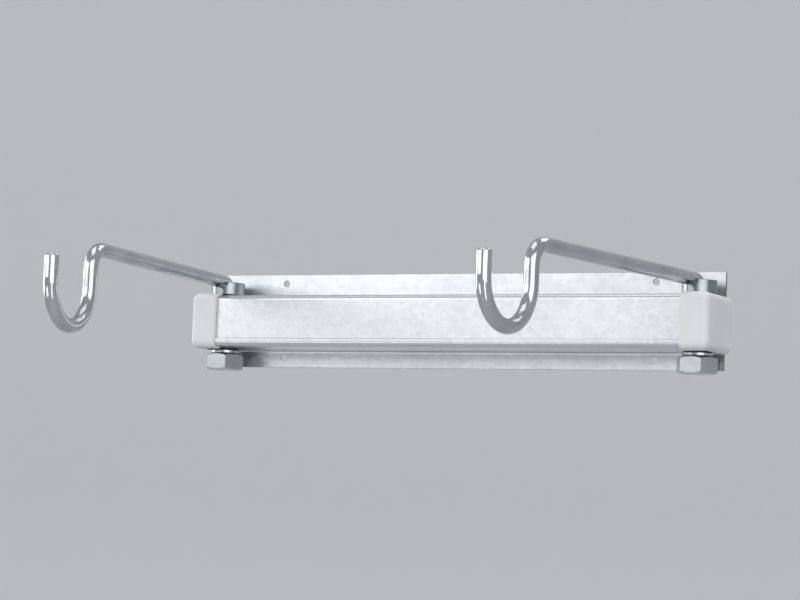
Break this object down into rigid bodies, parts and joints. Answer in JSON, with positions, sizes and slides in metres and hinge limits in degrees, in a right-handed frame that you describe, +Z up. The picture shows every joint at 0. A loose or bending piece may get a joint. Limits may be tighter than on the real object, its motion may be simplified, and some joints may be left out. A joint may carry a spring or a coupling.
{
  "type": "wall bike hanger",
  "caption": "Wall-mounted bike hanger: a folded sheet-steel rail with moulded end caps carries round-bar arms that swing on upright pivots, each ending in a cradle for a frame tube.",
  "frame": {"origin": "middle of the rail's wall face, at the centre of the four wall-screw holes", "axes": "+X to the right along the rail, seen from the room; +Y into the wall; +Z up"},
  "size_m": [0.496, 0.3789, 0.0883],
  "materials": {
    "rail_sheet": "zinc-coated sheet, satin to bright",
    "plated_bar": "bright plated",
    "turned_zinc": "turned and zinc plated",
    "spring_steel": "dark oiled spring steel",
    "cap_moulding": "fine matt moulding, pale grey",
    "bush_moulding": "smooth matt moulding, black",
    "ring_moulding": "smooth moulding, natural white"
  },
  "bodies": {
    "rail": {"wall_rail": "rail_sheet", "left_end_cap": "cap_moulding", "left_distance_tube": "turned_zinc", "left_upper_bush": "bush_moulding", "left_lower_bush": "bush_moulding", "right_end_cap": "cap_moulding", "right_distance_tube": "turned_zinc", "right_upper_bush": "bush_moulding", "right_lower_bush": "bush_moulding"},
    "left_arm": {"left_arm_bar": "plated_bar", "left_thrust_collar": "turned_zinc", "left_plain_washer": "turned_zinc", "left_disc_spring": "spring_steel", "left_lock_nut": "turned_zinc", "left_lock_ring": "ring_moulding"},
    "right_arm": {"right_arm_bar": "plated_bar", "right_thrust_collar": "turned_zinc", "right_plain_washer": "turned_zinc", "right_disc_spring": "spring_steel", "right_lock_nut": "turned_zinc", "right_lock_ring": "ring_moulding"}
  },
  "joints": [
    {"name": "left_swing", "type": "hinge", "parent": "rail", "child": "left_arm", "pos_m": [-0.228, -0.025, 0.02], "axis": [0, 0, -1], "range_deg": [-28, 96]},
    {"name": "right_swing", "type": "hinge", "parent": "rail", "child": "right_arm", "pos_m": [0.228, -0.025, 0.02], "axis": [0, 0, 1], "range_deg": [-28, 96]}
  ]
}
